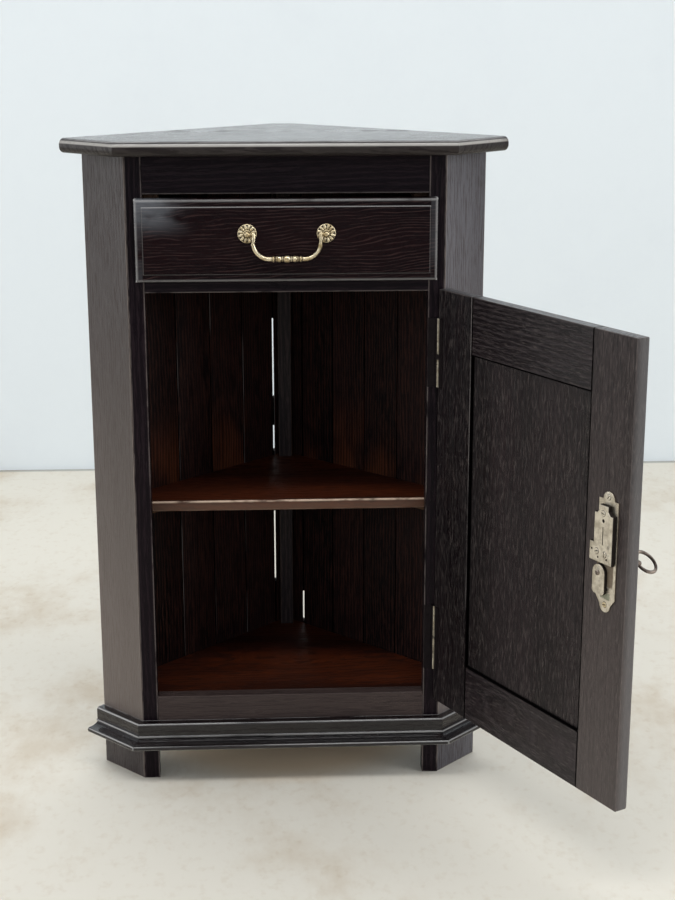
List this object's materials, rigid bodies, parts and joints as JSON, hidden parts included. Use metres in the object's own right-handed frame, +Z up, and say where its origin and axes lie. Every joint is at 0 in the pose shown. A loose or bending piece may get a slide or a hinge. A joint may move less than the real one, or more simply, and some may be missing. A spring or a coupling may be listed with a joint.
{
  "type": "corner cupboard",
  "caption": "Corner cupboard with canted sides, a lipped drawer with a bail handle, a frame-and-panel door with lock and key, a shelf and a moulded base; its door stands open.",
  "frame": {"origin": "on the floor, at the middle of the area that the cupboard and its open door take up", "axes": "+Z up, -Y towards the front, +X to the right seen from the front; the room's walls run at 45 degrees to X and Y behind it"},
  "size_m": [0.6876, 0.6256, 0.84],
  "materials": {
    "dark_oak": "dark stain under varnish",
    "inner_oak": "reddish brown stain",
    "raw_oak": "unstained",
    "old_brass": "aged",
    "hinge_steel": "dull",
    "lock_nickel": "aged nickel silver",
    "key_iron": "dark"
  },
  "bodies": {
    "cabinet": {"top_board": "dark_oak", "left_side": "dark_oak", "right_side": "dark_oak", "left_stile": "dark_oak", "right_stile": "dark_oak", "top_rail": "dark_oak", "middle_rail": "dark_oak", "bottom_rail": "dark_oak", "front_moulding": "dark_oak", "left_moulding": "dark_oak", "right_moulding": "dark_oak", "rear_post": "inner_oak", "bottom_board": "inner_oak", "shelf": "inner_oak", "left_back_board_1": "inner_oak", "left_back_board_2": "inner_oak", "left_back_board_3": "inner_oak", "left_back_board_4": "inner_oak", "left_back_board_5": "inner_oak", "left_back_board_6": "inner_oak", "right_back_board_1": "inner_oak", "right_back_board_2": "inner_oak", "right_back_board_3": "inner_oak", "right_back_board_4": "inner_oak", "right_back_board_5": "inner_oak", "right_back_board_6": "inner_oak", "left_shelf_cleat": "raw_oak", "right_shelf_cleat": "raw_oak", "left_bottom_cleat": "raw_oak", "right_bottom_cleat": "raw_oak", "left_drawer_runner": "raw_oak", "right_drawer_runner": "raw_oak", "left_drawer_kicker": "raw_oak", "right_drawer_kicker": "raw_oak", "lower_hinge_frame_leaf": "hinge_steel", "upper_hinge_frame_leaf": "hinge_steel", "lower_hinge_pin": "hinge_steel", "upper_hinge_pin": "hinge_steel"},
    "drawer": {"drawer_front": "dark_oak", "drawer_left_side": "raw_oak", "drawer_right_side": "raw_oak", "drawer_back": "raw_oak", "drawer_bottom": "raw_oak", "handle_left_rosette": "old_brass", "handle_right_rosette": "old_brass", "handle_left_nut": "old_brass", "handle_right_nut": "old_brass"},
    "bail": {"handle_bail": "old_brass"},
    "door": {"door_hinge_stile": "dark_oak", "door_lock_stile": "dark_oak", "door_top_rail": "dark_oak", "door_bottom_rail": "dark_oak", "door_panel": "dark_oak", "lower_hinge_door_leaf": "hinge_steel", "upper_hinge_door_leaf": "hinge_steel", "lock_plate": "lock_nickel", "lock_case": "lock_nickel"},
    "key": {"lock_tongue": "lock_nickel", "key": "key_iron"}
  },
  "joints": [
    {"name": "door_hinge", "type": "hinge", "parent": "cabinet", "child": "door", "pos_m": [0.12027, 0.01666, 0], "axis": [0, 0, 1], "range_deg": [-118, 10]},
    {"name": "drawer_slide", "type": "slide", "parent": "cabinet", "child": "drawer", "axis": [0, -1, 0], "range_m": [0, 0.08]},
    {"name": "bail_swing", "type": "hinge", "parent": "drawer", "child": "bail", "pos_m": [-0.06773, -0.01164, 0.7289], "axis": [-1, 0, 0], "range_deg": [-8, 170]},
    {"name": "key_turn", "type": "hinge", "parent": "door", "child": "key", "pos_m": [0.28423, -0.27275, 0.386], "axis": [-0.8829, -0.4695, 0], "range_deg": [0, 90]}
  ]
}
